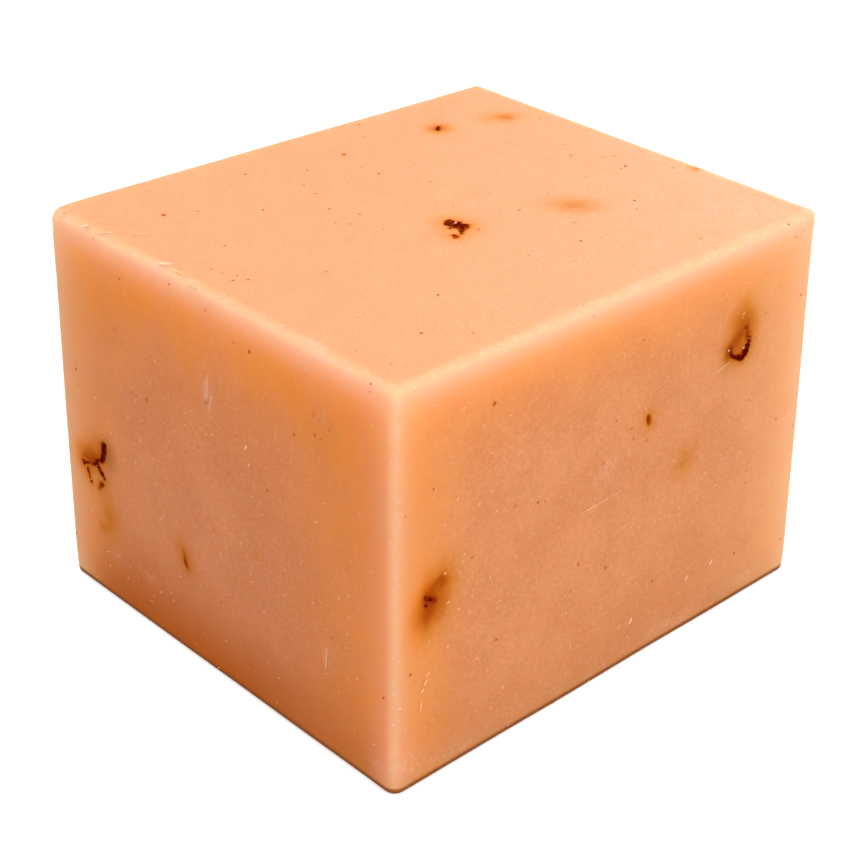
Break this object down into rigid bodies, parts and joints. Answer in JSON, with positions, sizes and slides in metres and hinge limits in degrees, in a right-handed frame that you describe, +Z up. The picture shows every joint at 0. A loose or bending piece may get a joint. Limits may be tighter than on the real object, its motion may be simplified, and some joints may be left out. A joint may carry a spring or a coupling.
{
  "type": "bar of soap",
  "caption": "Chunky hand-cut bar of peach-coloured soap with softly rounded edges and curled bits of dried petal cast into it, some cut through at its faces.",
  "frame": {"origin": "middle of the base, on the surface that the bar stands on", "axes": "+X along the longest side, +Z up; -Y faces the wall with the curled petal near its upper right corner, -X the wall with the split petal near its left edge"},
  "size_m": [0.0624, 0.055, 0.0455],
  "materials": {
    "soap": "satin, waxy and slightly translucent, peach to tan",
    "petal": "matt, dried and soaked, dark red-brown",
    "seed": "matt, brown"
  },
  "bodies": {
    "root": {"soap_bar": "soap", "petal_back_curl": "petal", "petal_back_low": "petal", "petal_base_curl": "petal", "petal_far_curl": "petal", "petal_front_buried": "petal", "petal_front_curl": "petal", "petal_front_low": "petal", "petal_side_buried": "petal", "petal_side_crumb": "petal", "petal_side_curl": "petal", "petal_side_low": "petal", "petal_top_back": "petal", "petal_top_buried": "petal", "petal_top_buried_back": "petal", "petal_top_crumb": "petal", "petal_top_flake": "petal", "petal_far_seed": "seed", "petal_front_seed": "seed"}
  },
  "joints": []
}
